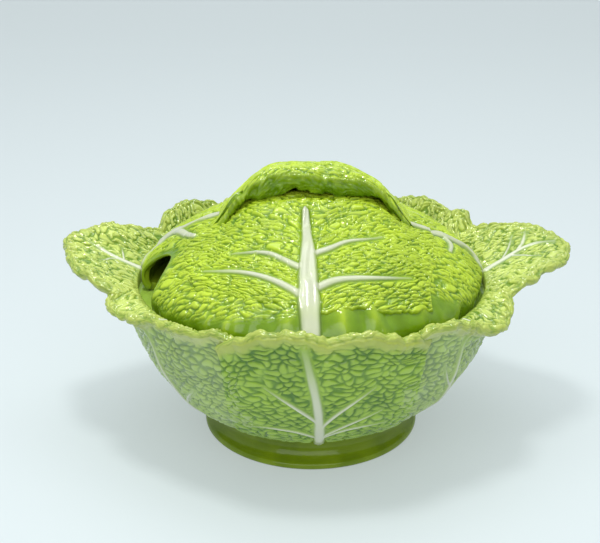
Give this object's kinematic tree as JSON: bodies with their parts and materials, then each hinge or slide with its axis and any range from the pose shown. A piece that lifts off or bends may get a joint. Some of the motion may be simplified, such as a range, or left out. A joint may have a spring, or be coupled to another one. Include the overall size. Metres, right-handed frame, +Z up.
{
  "type": "soup tureen",
  "caption": "Lidded cabbage-leaf soup tureen: a round bowl on a foot ring wrapped in leaves, two of them handles, and a domed lid with a curled leaf handle and a ladle notch.",
  "frame": {"origin": "centre of the foot ring on the table", "axes": "+Z up, along the lid's axis; the two leaf handles point along -X and +X; -Y is the front, towards which the lid handle's lip curls"},
  "size_m": [0.3609, 0.2698, 0.1973],
  "materials": {
    "foot_glaze": "glossy olive-green glaze",
    "inner_glaze": "glossy light green glaze, smooth",
    "leaf_glaze": "glossy green glaze over veined leaves, paler on the ribs and rims",
    "lid_glaze": "glossy yellow-green glaze over veined leaves, white on the ribs"
  },
  "bodies": {
    "tureen": {"foot_ring": "foot_glaze", "bowl": "inner_glaze", "leaf_front": "leaf_glaze", "leaf_front_left": "leaf_glaze", "leaf_front_right": "leaf_glaze", "leaf_left_handle": "leaf_glaze", "leaf_right_handle": "leaf_glaze", "leaf_back": "leaf_glaze", "leaf_back_left": "leaf_glaze", "leaf_back_right": "leaf_glaze"},
    "lid": {"lid": "lid_glaze", "lid_handle_leaf": "lid_glaze"}
  },
  "joints": [
    {"name": "lid_lift", "type": "slide", "parent": "tureen", "child": "lid", "axis": [0, 0, 1], "range_m": [0, 0.15]}
  ]
}
